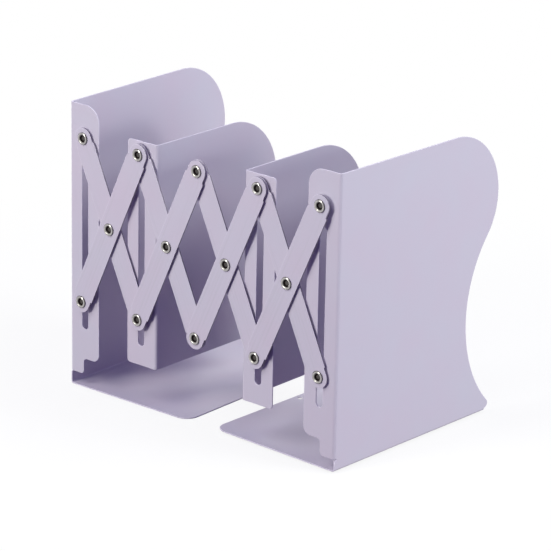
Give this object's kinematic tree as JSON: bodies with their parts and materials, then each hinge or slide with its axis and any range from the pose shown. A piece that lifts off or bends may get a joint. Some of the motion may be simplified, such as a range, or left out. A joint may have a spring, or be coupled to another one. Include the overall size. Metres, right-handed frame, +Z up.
{
  "type": "expandable bookend",
  "caption": "Adjustable bookend of folded sheet steel: end plates with bases and upright dividers on a riveted scissor linkage that spreads to fit the books.",
  "frame": {"origin": "middle of the footprint, on the surface that the bookend stands on", "axes": "+X along the shelf, the way the bookend extends, +Y from the linkage towards the back of the bases, +Z up"},
  "size_m": [0.23, 0.1548, 0.19],
  "materials": {
    "coat": "fine matt powder coat, pale lilac grey",
    "nickel": "bright nickel plate",
    "zinc": "dull zinc plate",
    "rubber": "matt"
  },
  "bodies": {
    "left_end": {"left_end_plate": "coat", "rivet_top_0": "nickel", "washer_rear_top_0": "zinc"},
    "back_link_1": {"bar_back_1": "coat", "rivet_middle_1": "nickel", "washer_bars_middle_1": "zinc", "rivet_bottom_1": "nickel", "washer_rear_bottom_1": "zinc", "washer_bars_bottom_1": "zinc"},
    "front_link_1": {"bar_front_1": "coat", "rivet_bottom_0": "nickel", "spacer_bottom_0": "zinc", "rivet_top_1": "nickel", "washer_rear_top_1": "zinc", "washer_bars_top_1": "zinc"},
    "back_link_2": {"bar_back_2": "coat", "rivet_middle_2": "nickel", "washer_bars_middle_2": "zinc", "rivet_bottom_2": "nickel", "washer_bars_bottom_2": "zinc"},
    "front_link_2": {"bar_front_2": "coat", "rivet_top_2": "nickel", "washer_bars_top_2": "zinc"},
    "back_link_3": {"bar_back_3": "coat", "rivet_middle_3": "nickel", "washer_bars_middle_3": "zinc", "rivet_bottom_3": "nickel", "washer_rear_bottom_3": "zinc", "washer_bars_bottom_3": "zinc"},
    "front_link_3": {"bar_front_3": "coat", "rivet_top_3": "nickel", "washer_rear_top_3": "zinc", "washer_bars_top_3": "zinc"},
    "back_link_4": {"bar_back_4": "coat", "rivet_middle_4": "nickel", "washer_bars_middle_4": "zinc", "rivet_bottom_4": "nickel", "washer_rear_bottom_4": "zinc"},
    "front_link_4": {"bar_front_4": "coat"},
    "left_divider": {"divider_1": "coat"},
    "right_divider": {"divider_2": "coat"},
    "right_end": {"right_end_plate": "coat", "rivet_top_4": "nickel", "spacer_top_4": "zinc", "pad_front": "rubber", "pad_rear": "rubber"}
  },
  "joints": [
    {"name": "extension", "type": "hinge", "parent": "front_link_2", "child": "back_link_3", "pos_m": [0, -0.0725, 0.1684], "axis": [0, -1, 0], "range_deg": [-24.8, 115]},
    {"name": "left_end_pivot", "type": "hinge", "parent": "left_end", "child": "back_link_1", "pos_m": [-0.0984, -0.0725, 0.1684], "axis": [0, -1, 0], "range_deg": [-12.5, 57.6]},
    {"name": "crossing_1", "type": "hinge", "parent": "back_link_1", "child": "front_link_1", "pos_m": [-0.0738, -0.0725, 0.11424], "axis": [0, -1, 0], "range_deg": [-115.1, 24.9]},
    {"name": "left_divider_pivot", "type": "hinge", "parent": "front_link_1", "child": "left_divider", "pos_m": [-0.0492, -0.0725, 0.1684], "axis": [0, -1, 0], "range_deg": [-12.5, 57.6]},
    {"name": "bottom_pivot_1", "type": "hinge", "parent": "back_link_1", "child": "front_link_2", "pos_m": [-0.0492, -0.0725, 0.06008], "axis": [0, -1, 0], "range_deg": [-115.1, 24.9]},
    {"name": "crossing_2", "type": "hinge", "parent": "front_link_2", "child": "back_link_2", "pos_m": [-0.0246, -0.0725, 0.11424], "axis": [0, -1, 0], "range_deg": [-24.9, 115.1]},
    {"name": "crossing_3", "type": "hinge", "parent": "back_link_3", "child": "front_link_3", "pos_m": [0.0246, -0.0725, 0.11424], "axis": [0, -1, 0], "range_deg": [-115.1, 24.9]},
    {"name": "right_divider_pivot", "type": "hinge", "parent": "front_link_3", "child": "right_divider", "pos_m": [0.0492, -0.0725, 0.1684], "axis": [0, -1, 0], "range_deg": [-12.5, 57.6]},
    {"name": "bottom_pivot_3", "type": "hinge", "parent": "back_link_3", "child": "front_link_4", "pos_m": [0.0492, -0.0725, 0.06008], "axis": [0, -1, 0], "range_deg": [-115.1, 24.9]},
    {"name": "crossing_4", "type": "hinge", "parent": "front_link_4", "child": "back_link_4", "pos_m": [0.0738, -0.0725, 0.11424], "axis": [0, -1, 0], "range_deg": [-24.9, 115.1]},
    {"name": "right_end_pivot", "type": "hinge", "parent": "front_link_4", "child": "right_end", "pos_m": [0.0984, -0.0725, 0.1684], "axis": [0, -1, 0], "range_deg": [-12.5, 57.6]}
  ],
  "couplings": [
    {"joint": "left_end_pivot", "follows": "extension", "ratio": 0.5},
    {"joint": "crossing_1", "follows": "extension", "ratio": -1},
    {"joint": "left_divider_pivot", "follows": "extension", "ratio": 0.5},
    {"joint": "bottom_pivot_1", "follows": "extension", "ratio": -1},
    {"joint": "crossing_2", "follows": "extension", "ratio": 1},
    {"joint": "crossing_3", "follows": "extension", "ratio": -1},
    {"joint": "right_divider_pivot", "follows": "extension", "ratio": 0.5},
    {"joint": "bottom_pivot_3", "follows": "extension", "ratio": -1},
    {"joint": "crossing_4", "follows": "extension", "ratio": 1},
    {"joint": "right_end_pivot", "follows": "extension", "ratio": 0.5}
  ]
}
